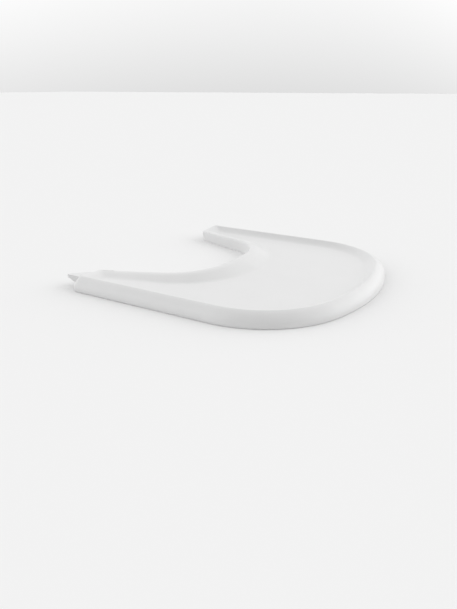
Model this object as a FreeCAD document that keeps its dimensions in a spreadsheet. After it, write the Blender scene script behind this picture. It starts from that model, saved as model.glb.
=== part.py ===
"""Clip-on high chair tray: a moulded white tray with two arms and a one-hand release underneath.

Frame: +Z up, the tray's front towards -Y, its two arms towards +Y, the latch in the arm on -X. The
origin is under the middle of the whole part, on the plane that the skirt stands on.
"""
import FreeCAD
import Part
import Sketcher
import math
import os

from FreeCAD import Vector

os.makedirs("parts", exist_ok=True)
doc = FreeCAD.newDocument("high_chair_tray")

# Driving dimensions, millimetres and degrees.
DIMENSIONS = {
    # moulded tray
    "tray_width": 470, "tray_depth": 452, "wall": 2.4,
    "rim_top": 23.8, "rim_reach": 17.5, "ridge_radius": 5, "skirt_foot": 1, "cove_radius": 29,
    "floor_top": 14.2, "front_radius": 373, "corner_radius": 149,
    # scooped edge that goes round the child
    "belly_run": 263, "belly_front_radius": 462, "belly_front_angle": 4.9, "belly_flare": 18.3,
    "belly_top": 28, "belly_tip_top": 20, "belly_lip": 3.5,
    "belly_slope": 42, "belly_slope_mid": 31, "belly_slope_tip": 24,
    # arm ends
    "arm_tip_width": 48.6, "tip_slant": 1.5, "tip_slope": 30, "tip_land": 10, "tip_round": 2,
    # latch bolt, in the left arm
    "nose_reach": 27, "travel": 6, "clearance": 0.4,
    "bolt_width": 10, "bolt_length": 58, "bolt_floor": 8.5, "bolt_chamfer": 3.9,
    "nose_width": 37, "nose_corner": 9, "nose_shoulder": 8, "nose_lip": 5, "nose_fall": 3,
    # peg socket, in the right arm
    "peg_radius": 3.5, "peg_height": 9.6, "peg_inset": 12,
    "socket_length": 16, "socket_width": 16, "socket_roof": 5,
    # spring and pull rod
    "rod_height": 14, "rod_radius": 1.5, "spring_length": 34, "spring_radius": 3.8, "spring_wire": 0.5,
    "spring_turns": 8,
    # yoke, handle and its guide
    "yoke_run": 176, "yoke_width": 12, "yoke_floor": 3.2, "yoke_thick": 4, "yoke_tab_top": 18,
    "handle_run": 28, "handle_width": 100, "handle_depth": 40, "handle_floor": 1.6, "handle_wall": 9,
    "flange_width": 5, "flange_floor": 7, "guide_wall": 3,
    # covers, straps, saddles
    "cover_floor": 1.2, "cover_thick": 2.2, "cover_width": 28, "saddle_run": 290,
    "strap_outer": 125, "strap_inner": 65,
    # fasteners and pads
    "boss_radius": 4, "screw_radius": 1.4, "head_radius": 3, "head_height": 1.8, "screw_length": 8,
    "pad_thick": 2, "pad_width": 14, "rib_thick": 1.8, "rib_floor": 5,
}
sheet = doc.addObject("Spreadsheet::Sheet", "dims")
for row, (alias, value) in enumerate(DIMENSIONS.items(), start=1):
    sheet.set(f"A{row}", alias)
    sheet.set(f"B{row}", str(value))
    sheet.setAlias(f"B{row}", alias)
doc.recompute()


def size(expression):
    """Value of an expression of sheet cells, such as '(dims.wall * 2)'."""
    return float(sheet.evalExpression(str(expression)))


# Places that several pieces share, as expressions of the sheet.
FRONT = "(-(dims.tray_depth + dims.nose_reach) / 2)"
TIP = f"({FRONT} + dims.tray_depth)"
CREST = "(dims.tray_width / 2 - dims.rim_reach)"
UNDER = "(dims.floor_top - dims.wall)"
BOLT_TOP = "(dims.rim_top - dims.wall - dims.clearance)"
BOLT_BACK = f"({TIP} - dims.bolt_length)"
SPRING_SEAT = f"({BOLT_BACK} - dims.spring_length)"
YOKE_LINE = f"({FRONT} + dims.yoke_run)"
HANDLE_FRONT = f"({FRONT} + dims.handle_run)"
HANDLE_BACK = f"({HANDLE_FRONT} + dims.handle_depth)"
HANDLE_TOP = f"({UNDER} - dims.clearance)"
BOSS_FLOOR = "(dims.cover_floor + dims.cover_thick + dims.head_height)"


def place(feature, x, y, z):
    for axis, value in zip("xyz", (x, y, z)):
        feature.setExpression(f"Placement.Base.{axis}", str(value))


def block(name, x, y, z, length, width, height):
    feature = doc.addObject("Part::Box", name)
    for prop, value in (("Length", length), ("Width", width), ("Height", height)):
        feature.setExpression(prop, str(value))
    place(feature, x, y, z)
    return feature


def rod(name, x, y, z, radius, length, along="z"):
    feature = doc.addObject("Part::Cylinder", name)
    feature.setExpression("Radius", str(radius))
    feature.setExpression("Height", str(length))
    if along == "y":
        feature.Placement.Rotation = FreeCAD.Rotation(Vector(1, 0, 0), -90)
    place(feature, x, y, z)
    return feature


def fuse(name, pieces):
    feature = doc.addObject("Part::MultiFuse", name)
    feature.Shapes = pieces
    feature.Refine = True
    return feature


def cut(name, base, tools):
    feature = doc.addObject("Part::Cut", name)
    feature.Base = base
    feature.Tool = tools[0] if len(tools) == 1 else fuse(name + "_tools", tools)
    feature.Refine = True
    return feature


def prism(name, plane, points, level, length):
    """PartDesign body: a straight-sided outline on an origin plane, padded along its normal."""
    owner = doc.addObject("PartDesign::Body", name)
    outline = owner.newObject("Sketcher::SketchObject", name + "_outline")
    support = next(item for item in owner.Origin.OriginFeatures if item.Role == plane)
    outline.AttachmentSupport = (support, [""])
    outline.MapMode = "FlatFace"
    outline.setExpression("AttachmentOffset.Base.z", str(level))
    corners = [Vector(size(across), size(up), 0) for across, up in points]
    count = len(corners)
    for index in range(count):
        outline.addGeometry(Part.LineSegment(corners[index], corners[(index + 1) % count]), False)
    for index in range(count):
        outline.addConstraint(Sketcher.Constraint("Coincident", index, 2, (index + 1) % count, 1))
    for index, (across, up) in enumerate(points):
        for kind, value in (("DistanceX", across), ("DistanceY", up)):
            number = outline.addConstraint(Sketcher.Constraint(kind, -1, 1, index, 1, size(value)))
            outline.setExpression(f"Constraints[{number}]", str(value))
    pad = owner.newObject("PartDesign::Pad", name + "_pad")
    pad.Profile = outline
    pad.setExpression("Length", str(length))
    owner.Tip = pad
    return owner


# ---------------------------------------------------------------- tray shell

def turn(radius, degrees):
    """Vector of the given length, pointing the given degrees from +X towards +Y."""
    return Vector(radius * math.cos(math.radians(degrees)), radius * math.sin(math.radians(degrees)), 0)


def on_section(across, height):
    return Vector(across, 0, height)


def arc(first, middle, last):
    return Part.Arc(first, middle, last).toShape()


def line(first, last):
    return Part.LineSegment(first, last).toShape()


def rim_section(inset):
    """Filled section of the outer rim, in XZ with the ridge over X = 0; inset moves it inwards."""
    top, reach, ridge = size("dims.rim_top"), size("dims.rim_reach"), size("dims.ridge_radius")
    foot, cove, floor = size("dims.skirt_foot"), size("dims.cove_radius"), size("dims.floor_top")
    # outer side: one arc from the ridge down to an upright foot
    rise = top - ridge - foot
    skirt = (rise ** 2 + reach ** 2 - ridge ** 2) / (2 * (reach - ridge))
    outer = math.acos(rise / (skirt - ridge))
    inner = math.acos(1 - (top - floor) / (cove + ridge))

    def ridge_point(angle):
        radius = ridge - inset
        return on_section(radius * math.sin(angle), top - ridge + radius * math.cos(angle))

    def skirt_point(angle):
        radius = skirt - inset
        return on_section(reach - skirt + radius * math.sin(angle), foot + radius * math.cos(angle))

    def cove_point(angle):
        radius = cove + inset
        return on_section(radius * math.sin(angle) - (ridge + cove) * math.sin(inner),
                          floor + cove - radius * math.cos(angle))

    base = 0 if inset == 0 else -1
    tuck = foot if inset == 0 else 0
    heel = on_section(reach - inset - tuck, base)
    return Part.Face(Part.Wire([
        arc(cove_point(0), cove_point(inner / 2), cove_point(inner)),
        arc(ridge_point(-inner), ridge_point(0), ridge_point(outer)),
        arc(skirt_point(outer), skirt_point((outer + math.pi / 2) / 2), skirt_point(math.pi / 2)),
        line(skirt_point(math.pi / 2), heel),
        line(heel, on_section(cove_point(0).x, base)),
        line(on_section(cove_point(0).x, base), cove_point(0)),
    ]))


def rim_solid(inset, end_y):
    """Outer rim: the section run along both straight sides, the two corners and the front."""
    crest, front = size(CREST), size(FRONT) + size("dims.rim_reach")
    corner, broad = size("dims.corner_radius"), size("dims.front_radius")
    corner_x = crest - corner
    swing = math.degrees(math.asin(corner_x / (broad - corner)))
    broad_y = front + broad
    corner_y = broad_y - (broad - corner) * math.cos(math.radians(swing))
    section = rim_section(inset)
    pieces = []
    for side in (1, -1):
        flank = section.copy()
        flank.translate(Vector(crest, corner_y, 0))
        straight = flank.extrude(Vector(0, end_y - corner_y, 0))
        bend = flank.revolve(Vector(corner_x, corner_y, 0), Vector(0, 0, 1), -(90 - swing))
        for piece in (straight, bend):
            pieces.append(piece if side == 1 else piece.mirror(Vector(), Vector(1, 0, 0)))
    nose = section.copy()
    nose.rotate(Vector(), Vector(0, 0, 1), -90 - swing)
    nose.translate(Vector(0, broad_y, 0) + turn(broad, -90 - swing))
    pieces.append(nose.revolve(Vector(0, broad_y, 0), Vector(0, 0, 1), 2 * swing))
    inside = Part.Face(Part.Wire([
        arc(Vector(corner_x, corner_y, 0) + turn(corner, 0),
            Vector(corner_x, corner_y, 0) + turn(corner, (swing - 90) / 2),
            Vector(corner_x, corner_y, 0) + turn(corner, swing - 90)),
        arc(Vector(0, broad_y, 0) + turn(broad, swing - 90), Vector(0, front, 0),
            Vector(0, broad_y, 0) + turn(broad, -90 - swing)),
        arc(Vector(-corner_x, corner_y, 0) + turn(corner, -90 - swing),
            Vector(-corner_x, corner_y, 0) + turn(corner, -90 - swing - (90 - swing) / 2),
            Vector(-corner_x, corner_y, 0) + turn(corner, 180)),
        line(Vector(-crest, corner_y, 0), Vector(-crest, end_y, 0)),
        line(Vector(-crest, end_y, 0), Vector(crest, end_y, 0)),
        line(Vector(crest, end_y, 0), Vector(crest, corner_y, 0)),
    ]))
    base = 0 if inset == 0 else -1
    inside.translate(Vector(0, 0, base))
    pieces.append(inside.extrude(Vector(0, 0, size("dims.floor_top") - inset - base)))
    return pieces[0].multiFuse(pieces[1:]).removeSplitter()


def belly_station(share):
    """Point, heading and share of the scooped edge, from the middle (0) to past the arm end (1)."""
    broad, start = size("dims.belly_front_radius"), math.radians(size("dims.belly_front_angle"))
    stop = math.radians(90 - size("dims.belly_flare"))
    middle = Vector(0, size(FRONT) + size("dims.belly_run"), 0)
    tip = Vector(size(CREST) - size("dims.arm_tip_width"), size(TIP), 0)
    first = middle + Vector(broad * math.sin(start), broad * (1 - math.cos(start)), 0)
    gap = tip - first
    tight = (gap.x * math.sin(stop) - gap.y * math.cos(stop)) / (1 - math.cos(stop - start))
    second = first + Vector(math.sin(stop) - math.sin(start), math.cos(start) - math.cos(stop), 0) * tight
    lengths = (broad * start, tight * (stop - start), (tip - second).Length)
    travel = share * sum(lengths)
    if travel <= lengths[0]:
        heading = travel / broad
        return middle + Vector(math.sin(heading), 1 - math.cos(heading), 0) * broad, heading
    if travel <= lengths[0] + lengths[1]:
        heading = start + (travel - lengths[0]) / tight
        bow = Vector(math.sin(heading) - math.sin(start), math.cos(start) - math.cos(heading), 0)
        return first + bow * tight, heading
    ahead = Vector(math.cos(stop), math.sin(stop), 0)
    return second + ahead * (travel - lengths[0] - lengths[1]), stop


def belly_section(share, inset):
    """Filled section of the scooped edge: upright wall, rounded lip and a slope down to the floor."""
    point, heading = belly_station(abs(share))
    part = min(abs(share), 1)
    ease = part * part * (3 - 2 * part)
    top = size("dims.belly_top") + (size("dims.belly_tip_top") - size("dims.belly_top")) * ease
    width = (size("dims.belly_slope") * (1 - part) * (1 - 2 * part)
             + 4 * size("dims.belly_slope_mid") * part * (1 - part)
             + size("dims.belly_slope_tip") * part * (2 * part - 1))
    lip, floor = size("dims.belly_lip"), size("dims.floor_top")
    reach = math.hypot(width, top - lip - floor)
    fall = math.atan2(top - lip - floor, width) + math.asin(lip / reach)
    radius = lip - inset
    base = 0 if inset == 0 else -1
    outward = Vector(math.sin(heading), -math.cos(heading), 0)

    def at(across, height):
        spot = point + outward * across + Vector(0, 0, height)
        return spot if share >= 0 else Vector(-spot.x, spot.y, spot.z)

    foot = width - inset * math.tan(fall / 2)
    bend = (fall - math.pi / 2) / 2
    return Part.Wire([
        line(at(-radius, base), at(-radius, top - lip)),
        arc(at(-radius, top - lip), at(radius * math.sin(bend), top - lip + radius * math.cos(bend)),
            at(radius * math.sin(fall), top - lip + radius * math.cos(fall))),
        line(at(radius * math.sin(fall), top - lip + radius * math.cos(fall)), at(foot, floor - inset)),
        line(at(foot, floor - inset), at(foot, base)),
        line(at(foot, base), at(-radius, base)),
    ])


BELLY_STATIONS = 15
OVERSHOOT = 1.12


def belly_solid(inset):
    shares = [OVERSHOOT * index / BELLY_STATIONS for index in range(-BELLY_STATIONS, BELLY_STATIONS + 1)]
    return Part.makeLoft([belly_section(share, inset) for share in shares], True, False)


def belly_opening(far_y):
    """Tall prism that takes the floor away up to a line that runs inside the scooped edge."""
    overlap = size("dims.belly_lip") + 3
    edge = []
    for index in range(-BELLY_STATIONS, BELLY_STATIONS + 1):
        share = OVERSHOOT * index / BELLY_STATIONS
        point, heading = belly_station(abs(share))
        spot = point + Vector(math.sin(heading), -math.cos(heading), 0) * overlap
        edge.append(Vector(math.copysign(spot.x, share) if index else 0, spot.y, -5))
    curve = Part.BSplineCurve()
    curve.interpolate(edge)
    ends = [Vector(edge[-1].x, far_y, -5), Vector(edge[0].x, far_y, -5)]
    wire = Part.Wire([curve.toShape(), line(edge[-1], ends[0]), line(ends[0], ends[1]),
                      line(ends[1], edge[0])])
    return Part.Face(wire).extrude(Vector(0, 0, size("dims.rim_top") + 10))


def tip_solid(inset):
    """Raised end of one arm (+X): a slope up from the floor, a rounded crest and a slanting end face."""
    crest_x, end_y = size(CREST), size(TIP)
    floor, slant = size("dims.floor_top"), size("dims.tip_slant")
    base = 0 if inset == 0 else -1
    sunk = 2

    def section(x, top):
        back = end_y - inset
        crest_y = end_y - size("dims.tip_land") + inset
        foot_y = end_y - size("dims.tip_slope") + inset
        high, edge = top - inset, size("dims.tip_round")
        start_y = foot_y - sunk * (crest_y - foot_y) / (top - floor)
        return Part.Wire(Part.makePolygon([
            Vector(x, start_y, base), Vector(x, start_y, floor - inset - sunk), Vector(x, crest_y, high),
            Vector(x, back - edge, high), Vector(x, back, high - edge),
            Vector(x, back - slant, base), Vector(x, start_y, base)]))

    near, far = crest_x - size("dims.arm_tip_width"), crest_x + 1
    return Part.makeLoft([section(near, size("dims.belly_tip_top")), section(far, size("dims.rim_top"))],
                         True, True)


def end_trim(inset):
    """Everything behind the slanting end face of both arms."""
    end_y, top, slant = size(TIP) - inset, size("dims.rim_top"), size("dims.tip_slant")
    low, high = -5, top + 15
    lean = slant / top
    outline = Part.makePolygon([Vector(-400, end_y - lean * (top - low), low), Vector(-400, 900, low),
                                Vector(-400, 900, high), Vector(-400, end_y + lean * (high - top), high),
                                Vector(-400, end_y - lean * (top - low), low)])
    return Part.Face(outline).extrude(Vector(800, 0, 0))


def tray_solid(inset):
    """The tray as if it were filled, with every outer face moved inwards by inset."""
    past = size(TIP) + 12
    solid = rim_solid(inset, past).cut(belly_opening(past + 40)).fuse(belly_solid(inset))
    tip = tip_solid(inset)
    solid = solid.multiFuse([tip, tip.mirror(Vector(), Vector(1, 0, 0))])
    return solid.cut(end_trim(inset)).removeSplitter()


# Screw places as (x, y) expressions: each has a boss in the tray and a screw from below.
COVER_INNER = f"({CREST} - dims.cover_width / 2 - dims.boss_radius - 0.5)"
SADDLE_LINE = f"({FRONT} + dims.saddle_run)"
STRAP_FRONT = f"({YOKE_LINE} - dims.yoke_width / 2 - dims.travel - dims.boss_radius - 2)"
STRAP_BACK = f"({YOKE_LINE} + dims.yoke_width / 2 + dims.boss_radius + 2)"
GUIDE_SIDE = "(dims.handle_width / 2 + dims.flange_width + dims.clearance + dims.guide_wall)"
GUIDE_EAR = f"({GUIDE_SIDE} + dims.boss_radius)"
SOCKET_FRONT = f"({TIP} - dims.wall - 0.8 - dims.socket_length)"
PEG_LINE = f"({CREST} - dims.peg_inset)"
COVER_SCREWS = [(f"(-{COVER_INNER})", f"({SPRING_SEAT} + 8)"), (f"(-{COVER_INNER})", f"({BOLT_BACK} + 14)")]
SADDLE_SCREWS = [(f"(-{COVER_INNER})", SADDLE_LINE)]
SOCKET_SCREWS = [(x, f"({SOCKET_FRONT} - 6)") for x in (f"({PEG_LINE} - 4)", f"({PEG_LINE} + 8)")]
STRAP_SCREWS = [(f"(-{x})", y) for x in ("dims.strap_outer", "dims.strap_inner")
                for y in (STRAP_FRONT, STRAP_BACK)]
GUIDE_SCREWS = [(x, y) for x in (GUIDE_EAR, f"(-{GUIDE_EAR})")
                for y in (f"({HANDLE_FRONT} + 8)", f"({HANDLE_BACK} + 2)")]
TRAY_SCREWS = COVER_SCREWS + SADDLE_SCREWS + SOCKET_SCREWS + STRAP_SCREWS + GUIDE_SCREWS


def tray_ribs():
    """Stiffening ribs and screw bosses under the floor, before they are trimmed to the tray."""
    high, floor, thick = size("dims.belly_top"), size("dims.rib_floor"), size("dims.rib_thick")
    belly = size(FRONT) + size("dims.belly_run")
    guide_back, yoke = size(HANDLE_BACK) + 12, size(YOKE_LINE)
    clear = size("dims.yoke_width") / 2 + size("dims.travel") + 8
    pieces = []
    for x in (-158, -95, -40, 40, 95, 158):
        for start, stop in ((guide_back, yoke - clear), (yoke + clear - 6, belly)):
            corner = Vector(x - thick / 2, start, floor)
            pieces.append(Part.makeBox(thick, stop - start, high - floor, corner))
    for x, y in TRAY_SCREWS:
        post = Part.makeCylinder(size("dims.boss_radius"), high - size(BOSS_FLOOR),
                                 Vector(size(x), size(y), size(BOSS_FLOOR)))
        pieces.append(post)
    return pieces


# Section of the latch nose seen from behind: its top falls towards the child's side, as the arm end does.
NOSE_OUTER = f"(-{CREST} + 1)"
NOSE_INNER = f"({NOSE_OUTER} + dims.nose_width)"


def nose_opening(gap):
    """Window in the left arm's end face that the nose slides through."""
    low, high = size("dims.bolt_floor") - gap, size(BOLT_TOP) + gap
    near, far = size(NOSE_OUTER) - gap, size(NOSE_INNER) + gap
    side = -size(CREST) - size("dims.bolt_width") / 2 - gap
    outline = [(side, low), (far, low), (far, high - size("dims.nose_fall")), (near, high),
               (side + size("dims.bolt_chamfer"), high), (side, high - size("dims.bolt_chamfer")), (side, low)]
    wire = Part.makePolygon([Vector(x, size(TIP) - 9, z) for x, z in outline])
    return Part.Face(wire).extrude(Vector(0, 40, 0))


def socket_pocket(gap):
    """Room for the peg socket in the right arm's thick end."""
    width = size("dims.socket_width") + 2 * gap
    top = size("dims.peg_height") + size("dims.socket_roof") + gap
    return Part.makeBox(width, size("dims.socket_length") + 2 * gap, top + 5,
                        Vector(size(PEG_LINE) - width / 2, size(SOCKET_FRONT) - gap, -5))


def tray_shell():
    outer, inner = tray_solid(0), tray_solid(size("dims.wall"))
    shell = outer.cut(inner)
    ribs = [piece.common(outer) for piece in tray_ribs()]
    shell = shell.multiFuse(ribs)
    gap = size("dims.clearance")
    holes = []
    for x, y in TRAY_SCREWS:
        depth = size("dims.screw_length") + 0.5 - size("dims.cover_thick")
        holes.append(Part.makeCylinder(size("dims.screw_radius"), depth,
                                       Vector(size(x), size(y), size(BOSS_FLOOR) - 0.5)))
    holes += [nose_opening(gap), socket_pocket(gap)]
    holes.append(Part.makeCylinder(size("dims.peg_radius") + gap, 30,
                                   Vector(size(PEG_LINE), size(TIP) - 12, size("dims.peg_height")),
                                   Vector(0, 1, 0)))
    return shell.cut(Part.makeCompound(holes)).removeSplitter()


shell = doc.addObject("Part::Feature", "tray_shell")
shell.Shape = tray_shell()
subparts = [shell]


# ---------------------------------------------------------------- release handle, yoke and rods

def screw_group(name, places, seat):
    """Pan-head screws driven up from below; seat is the height of the face that their heads press on."""
    screws = []
    for number, (x, y) in enumerate(places, start=1):
        head = rod(f"{name}_head_{number}", x, y, f"{seat} - dims.head_height", "dims.head_radius",
                   "dims.head_height")
        shank = rod(f"{name}_shank_{number}", x, y, seat, "dims.screw_radius - 0.1", "dims.screw_length")
        screw = fuse(f"{name}_blank_{number}", [head, shank])
        slot = block(f"{name}_slot_{number}", f"{x} - dims.head_radius * 0.65", f"{y} - 0.4",
                     f"{seat} - dims.head_height - 0.5", "dims.head_radius * 1.3", 0.8, 1.4)
        cross = block(f"{name}_cross_{number}", f"{x} - 0.4", f"{y} - dims.head_radius * 0.65",
                      f"{seat} - dims.head_height - 0.5", 0.8, "dims.head_radius * 1.3", 1.4)
        screws.append(cut(f"{name}_{number}", screw, [slot, cross]))
    group = doc.addObject("Part::Compound", name)
    group.Links = screws
    return group


HANDLE_SCREWS = [(f"({sign}(dims.head_radius + 0.2))", f"({HANDLE_BACK} - dims.handle_wall / 2)")
                 for sign in ("", "-")]


def build_handle():
    body = block("handle_plate", "-dims.handle_width / 2", HANDLE_FRONT, "dims.handle_floor",
                 "dims.handle_width", "dims.handle_depth", f"{HANDLE_TOP} - dims.handle_floor")
    flanges = block("handle_flanges", "-dims.handle_width / 2 - dims.flange_width", HANDLE_FRONT,
                    "dims.flange_floor", "dims.handle_width + 2 * dims.flange_width", "dims.handle_depth",
                    f"{HANDLE_TOP} - dims.flange_floor")
    slot = block("handle_slot", "-dims.handle_width / 2 + dims.handle_wall",
                 f"{HANDLE_FRONT} + dims.handle_wall", "dims.handle_floor - 1",
                 "dims.handle_width - 2 * dims.handle_wall", "dims.handle_depth - 2 * dims.handle_wall", 20)
    stem_seat = block("handle_stem_seat", "-dims.yoke_width", f"{HANDLE_BACK} - dims.handle_wall - 0.5",
                      "dims.handle_floor - 1", "2 * dims.yoke_width", 30,
                      "dims.yoke_floor + dims.yoke_thick - dims.handle_floor + 1")
    holes = [rod(f"handle_screw_hole_{number}", x, y, 0, "dims.screw_radius", 20)
             for number, (x, y) in enumerate(HANDLE_SCREWS)]
    return cut("release_handle", fuse("handle_blank", [body, flanges]), [slot, stem_seat] + holes)


def build_yoke():
    """Flat L: a stem from the handle, a bar out to the left arm and an upright tab at its end."""
    end = f"(-{CREST} - dims.bolt_width / 2 + 1)"
    bar = block("yoke_bar", end, f"{YOKE_LINE} - dims.yoke_width / 2", "dims.yoke_floor",
                f"dims.yoke_width / 2 - {end}", "dims.yoke_width", "dims.yoke_thick")
    stem = block("yoke_stem", "-dims.yoke_width / 2", f"{HANDLE_BACK} - dims.handle_wall", "dims.yoke_floor",
                 "dims.yoke_width", f"{YOKE_LINE} - {HANDLE_BACK} + dims.handle_wall", "dims.yoke_thick")
    tab = block("yoke_tab", end, f"{YOKE_LINE} - dims.yoke_thick / 2", "dims.yoke_floor",
                "dims.bolt_width - 2", "dims.yoke_thick", "dims.yoke_tab_top - dims.yoke_floor")
    holes = [rod("yoke_rod_hole", f"-{CREST}", f"{YOKE_LINE} - 20", "dims.rod_height",
                 "dims.rod_radius + 0.1", 40, along="y")]
    for number, (x, y) in enumerate(HANDLE_SCREWS):
        holes.append(rod(f"yoke_screw_hole_{number}", x, y, 0, "dims.screw_radius + 0.3", 20))
    return cut("release_yoke", fuse("yoke_blank", [bar, stem, tab]), holes)


def build_rod():
    start = f"({YOKE_LINE} - dims.yoke_thick / 2 - 6)"
    stop = f"({BOLT_BACK} + 12)"
    return rod("pull_rod", f"-{CREST}", start, "dims.rod_height", "dims.rod_radius",
               f"{stop} - {start}", along="y")


def build_collars():
    """Push-on steel collars that trap the yoke's tab on the rod."""
    collars = []
    for end, offset in (("front", "-dims.yoke_thick / 2 - 2.5"), ("back", "dims.yoke_thick / 2 + 0.5")):
        name = f"rod_collar_{end}"
        ring = rod(name + "_ring", f"-{CREST}", f"{YOKE_LINE} + {offset}", "dims.rod_height",
                   "dims.rod_radius + 1.6", 2, along="y")
        bore = rod(name + "_bore", f"-{CREST}", f"{YOKE_LINE} + {offset} - 1", "dims.rod_height",
                   "dims.rod_radius + 0.05", 4, along="y")
        collars.append(cut(name, ring, [bore]))
    group = doc.addObject("Part::Compound", "rod_collars")
    group.Links = collars
    return group


def build_guide():
    """Channel that the handle slides in: two lipped rails, ears for the screws and a bridge at the back."""
    inner = "(dims.handle_width / 2 + dims.flange_width + dims.clearance)"
    length = f"({HANDLE_BACK} + 6 - {HANDLE_FRONT} + dims.travel)"
    start = f"({HANDLE_FRONT} - dims.travel)"
    pieces = []
    for side, sign in (("left", -1), ("right", 1)):
        wall_x = f"{inner}" if sign == 1 else f"-{inner} - dims.guide_wall"
        lip_x = f"dims.handle_width / 2 + dims.clearance" if sign == 1 else f"-{inner}"
        pieces.append(block(f"guide_wall_{side}", wall_x, start, "dims.handle_floor", "dims.guide_wall",
                            length, f"{UNDER} - dims.handle_floor"))
        pieces.append(block(f"guide_lip_{side}", lip_x, start, "dims.handle_floor",
                            "dims.flange_width", length,
                            "dims.flange_floor - dims.clearance - dims.handle_floor"))
        for number, (_, y) in enumerate(GUIDE_SCREWS[:2]):
            ear_x = GUIDE_SIDE if sign == 1 else f"-{GUIDE_SIDE} - 2 * dims.boss_radius"
            ear = block(f"guide_ear_{side}_{number}", ear_x, f"{y} - dims.boss_radius",
                        f"{BOSS_FLOOR} - dims.cover_thick", "2 * dims.boss_radius",
                        "2 * dims.boss_radius", "dims.cover_thick")
            pieces.append(ear)
    bridge_floor = "(dims.yoke_floor + dims.yoke_thick + dims.clearance)"
    pieces.append(block("guide_bridge", f"-{inner}", f"{HANDLE_BACK} + 1", bridge_floor, f"2 * {inner}", 5,
                        f"{UNDER} - {bridge_floor}"))
    holes = [rod(f"guide_hole_{number}", x, y, 0, "dims.screw_radius + 0.3", 20)
             for number, (x, y) in enumerate(GUIDE_SCREWS)]
    return cut("handle_guide", fuse("guide_blank", pieces), holes)


STRAP_SEAT = f"({BOSS_FLOOR} - dims.cover_thick)"


def build_strap(which):
    """U-shaped strap that keeps the yoke's bar up against the tray."""
    middle = f"-dims.strap_{which}"
    x = f"{middle} - dims.boss_radius"
    start, stop = f"({STRAP_FRONT} - dims.boss_radius)", f"({STRAP_BACK} + dims.boss_radius)"
    bottom = block(f"strap_plate_{which}", x, start, "dims.cover_floor", "2 * dims.boss_radius",
                   f"{stop} - {start}", 1.6)
    feet, holes = [], []
    for end, foot_y, screw_y in (("front", start, STRAP_FRONT),
                                 ("back", f"{stop} - 2 * dims.boss_radius", STRAP_BACK)):
        feet.append(block(f"strap_foot_{which}_{end}", x, foot_y, "dims.cover_floor",
                          "2 * dims.boss_radius", "2 * dims.boss_radius",
                          f"{BOSS_FLOOR} - dims.cover_floor"))
        holes.append(rod(f"strap_hole_{which}_{end}", middle, screw_y, 0, "dims.screw_radius + 0.3", 20))
        holes.append(rod(f"strap_sink_{which}_{end}", middle, screw_y, 0, "dims.head_radius + 0.4",
                         STRAP_SEAT))
    return cut(f"yoke_strap_{which}", fuse(f"strap_blank_{which}", [bottom] + feet), holes)


# ---------------------------------------------------------------- latch bolt, spring, cover and socket

def build_bolt():
    """Sliding bolt: a narrow bar under the rim and a broad nose, flat on top and ramped underneath."""
    bar = prism("bolt_bar", "YZ_Plane", [
        (BOLT_BACK, "dims.bolt_floor"), (f"({TIP} - 1)", "dims.bolt_floor"),
        (f"({TIP} - 1)", BOLT_TOP), (BOLT_BACK, BOLT_TOP)], f"-{CREST} - dims.bolt_width / 2",
        "dims.bolt_width")
    shaves = []
    for edge, way in (("near", "-"), ("far", "+")):
        corner = f"(-{CREST} {way} dims.bolt_width / 2)"
        inward = "-" if way == "+" else "+"
        shaves.append(prism(f"bolt_shave_{edge}", "XZ_Plane", [
            (f"({corner} {inward} dims.bolt_chamfer - ({way}1))", f"({BOLT_TOP} + 1)"),
            (f"({corner} + ({way}2))", f"({BOLT_TOP} + 1)"),
            (f"({corner} + ({way}2))", f"({BOLT_TOP} - dims.bolt_chamfer - 2)")],
            f"-{TIP}", "dims.bolt_length + 2"))
    bore = rod("bolt_bore", f"-{CREST}", f"{BOLT_BACK} - 5", "dims.rod_height", "dims.rod_radius + 0.1", 19,
               along="y")
    root, reach = f"({TIP} - 1.5)", f"({TIP} + dims.nose_reach)"
    plan = prism("nose_plan", "XY_Plane", [
        (NOSE_OUTER, root), (NOSE_INNER, root), (NOSE_INNER, f"({TIP} + dims.nose_shoulder)"),
        (f"({NOSE_OUTER} + dims.nose_corner)", reach), (NOSE_OUTER, reach)], 0, 40)
    side = prism("nose_side", "YZ_Plane", [
        (f"({root} - 1)", "dims.bolt_floor"), (f"({TIP} + dims.nose_reach / 3)", "dims.bolt_floor"),
        (reach, f"({BOLT_TOP} - dims.nose_lip)"), (reach, 40), (f"({root} - 1)", 40)],
        f"-{CREST} - 20", 80)
    section = prism("nose_section", "XZ_Plane", [
        (NOSE_OUTER, 0), (NOSE_INNER, 0), (NOSE_INNER, f"({BOLT_TOP} - dims.nose_fall)"),
        (NOSE_OUTER, BOLT_TOP)], f"-{reach} - 5", 80)
    nose = doc.addObject("Part::MultiCommon", "bolt_nose")
    nose.Shapes = [plan, side, section]
    stem = cut("bolt_stem", bar, shaves)
    return cut("latch_bolt", fuse("bolt_blank", [stem, nose]), [bore])


def build_spring():
    """Compression spring round the pull rod, between the cover's upright and the bolt."""
    wire, turns = size("dims.spring_wire"), size("dims.spring_turns")
    length = size("dims.spring_length") - 2 * wire - 0.2
    coil = Part.makeHelix(length / turns, length, size("dims.spring_radius"))
    edge = coil.Edges[0]
    start, ahead = edge.valueAt(edge.FirstParameter), edge.tangentAt(edge.FirstParameter)
    out = Vector(1, 0, 0)
    up = ahead.cross(out)
    corners = [start + (out * math.cos(math.radians(45 * k)) + up * math.sin(math.radians(45 * k))) * wire
               for k in range(9)]
    shape = Part.Wire(coil.Edges).makePipeShell([Part.makePolygon(corners)], True, True)
    spring = doc.addObject("Part::Feature", "latch_spring")
    spring.Shape = shape
    spring.Placement.Rotation = FreeCAD.Rotation(Vector(1, 0, 0), -90)
    place(spring, f"-{CREST}", f"{SPRING_SEAT} + dims.spring_wire + 0.1", "dims.rod_height")
    return spring


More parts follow.
